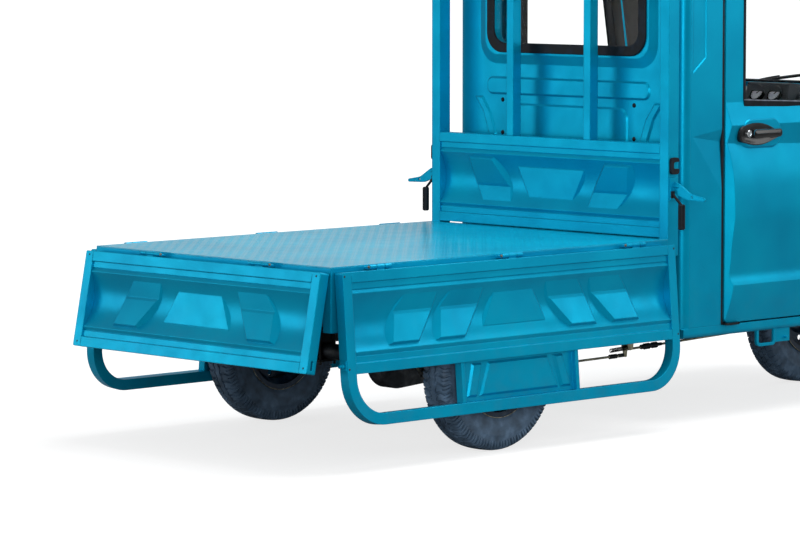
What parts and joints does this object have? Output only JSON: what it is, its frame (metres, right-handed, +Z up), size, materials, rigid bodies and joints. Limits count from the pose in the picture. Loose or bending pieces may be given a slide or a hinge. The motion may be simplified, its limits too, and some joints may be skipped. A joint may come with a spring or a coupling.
{
  "type": "three-wheeled drop-side cargo truck with enclosed cab",
  "caption": "Light three-wheeled cargo truck: enclosed cab, checker-plate load deck, hinged drop sides and tailgate hanging open, steered front wheel and driven rear axle.",
  "frame": {"origin": "middle of the truck's box, on the ground", "axes": "+X forward, +Y to the truck's left, +Z up"},
  "size_m": [3.6704, 1.568, 1.783],
  "materials": {
    "turquoise_paint": "gloss paint",
    "deck_steel": "checker plate, painted",
    "black_chassis": "satin black paint",
    "cast_metal": "cast, dusty",
    "bare_steel": "plain",
    "rim_paint": "silver paint",
    "tyre_rubber": "matt",
    "black_rubber": "matt",
    "black_plastic": "moulded",
    "grey_plastic": "moulded grain",
    "seat_vinyl": "grained vinyl",
    "clear_glass": "clear",
    "lamp_lens": "moulded lens",
    "red_lens": "moulded lens",
    "battery_case": "plain block"
  },
  "bodies": {
    "truck": {"deck_plate": "deck_steel", "deck_frame": "turquoise_paint", "headboard_frame": "turquoise_paint", "headboard_sheet": "turquoise_paint", "ladder_rack": "turquoise_paint", "chassis_rails": "black_chassis", "chassis_crossbars": "black_chassis", "spring_hangers": "black_chassis", "cab_underframe": "black_chassis", "steering_head": "black_chassis", "rear_axle": "black_chassis", "axle_motor": "cast_metal", "leaf_springs": "black_chassis", "brake_linkage": "bare_steel", "gate_latches": "black_rubber", "tail_lamps": "red_lens", "cab_floor": "turquoise_paint", "cab_rear_wall": "turquoise_paint", "quarter_panels": "turquoise_paint", "cab_roof": "turquoise_paint", "nose_panel": "turquoise_paint", "nose_sides": "turquoise_paint", "windscreen_frame": "turquoise_paint", "windscreen_glass": "clear_glass", "rear_window_glass": "clear_glass", "rear_window_rubber": "black_rubber", "door_seals": "black_rubber", "seat_base": "turquoise_paint", "battery_pack": "battery_case", "seat_cushion": "seat_vinyl", "seat_back": "seat_vinyl", "wheel_arch": "black_chassis", "dashboard": "grey_plastic", "headlamps": "lamp_lens", "front_bumper": "black_plastic", "mirrors": "black_plastic"},
    "right_gate": {"right_gate_frame": "turquoise_paint", "right_gate_sheets": "turquoise_paint"},
    "left_gate": {"left_gate_frame": "turquoise_paint", "left_gate_sheets": "turquoise_paint"},
    "tailgate": {"tailgate_frame": "turquoise_paint", "tailgate_sheet": "turquoise_paint"},
    "door_left": {"door_left": "turquoise_paint", "door_glass_left": "clear_glass"},
    "door_right": {"door_right": "turquoise_paint", "door_glass_right": "clear_glass"},
    "rear_wheel_left": {"rear_tyre_left": "tyre_rubber", "rear_rim_left": "rim_paint"},
    "rear_wheel_right": {"rear_tyre_right": "tyre_rubber", "rear_rim_right": "rim_paint"},
    "steering": {"front_fork": "black_chassis", "handlebar": "bare_steel"},
    "front_wheel": {"front_tyre": "tyre_rubber", "front_rim": "rim_paint"}
  },
  "joints": [
    {"name": "right_gate_drop", "type": "hinge", "parent": "truck", "child": "right_gate", "pos_m": [-0.86889, -0.65, 0.697], "axis": [-1, 0, 0], "range_deg": [0, 175.4]},
    {"name": "left_gate_drop", "type": "hinge", "parent": "truck", "child": "left_gate", "pos_m": [-0.86889, 0.65, 0.697], "axis": [1, 0, 0], "range_deg": [0, 175.4]},
    {"name": "tailgate_drop", "type": "hinge", "parent": "truck", "child": "tailgate", "pos_m": [-1.74589, 0, 0.697], "axis": [0, 1, 0], "range_deg": [0, 168.8]},
    {"name": "left_door_swing", "type": "hinge", "parent": "truck", "child": "door_left", "pos_m": [1.08861, 0.602, 0.9], "axis": [0, 0, -1], "range_deg": [0, 65]},
    {"name": "right_door_swing", "type": "hinge", "parent": "truck", "child": "door_right", "pos_m": [1.08861, -0.602, 0.9], "axis": [0, 0, 1], "range_deg": [0, 65]},
    {"name": "rear_left_roll", "type": "hinge", "parent": "truck", "child": "rear_wheel_left", "pos_m": [-0.90989, 0.578, 0.285], "axis": [0, 1, 0], "continuous": true},
    {"name": "rear_right_roll", "type": "hinge", "parent": "truck", "child": "rear_wheel_right", "pos_m": [-0.90989, -0.578, 0.285], "axis": [0, 1, 0], "continuous": true},
    {"name": "steer", "type": "hinge", "parent": "truck", "child": "steering", "pos_m": [1.28744, 0, 0.7], "axis": [-0.3746, 0, 0.9272], "range_deg": [-38, 38]},
    {"name": "front_roll", "type": "hinge", "parent": "steering", "child": "front_wheel", "pos_m": [1.48311, 0, 0.285], "axis": [0, 1, 0], "continuous": true}
  ]
}
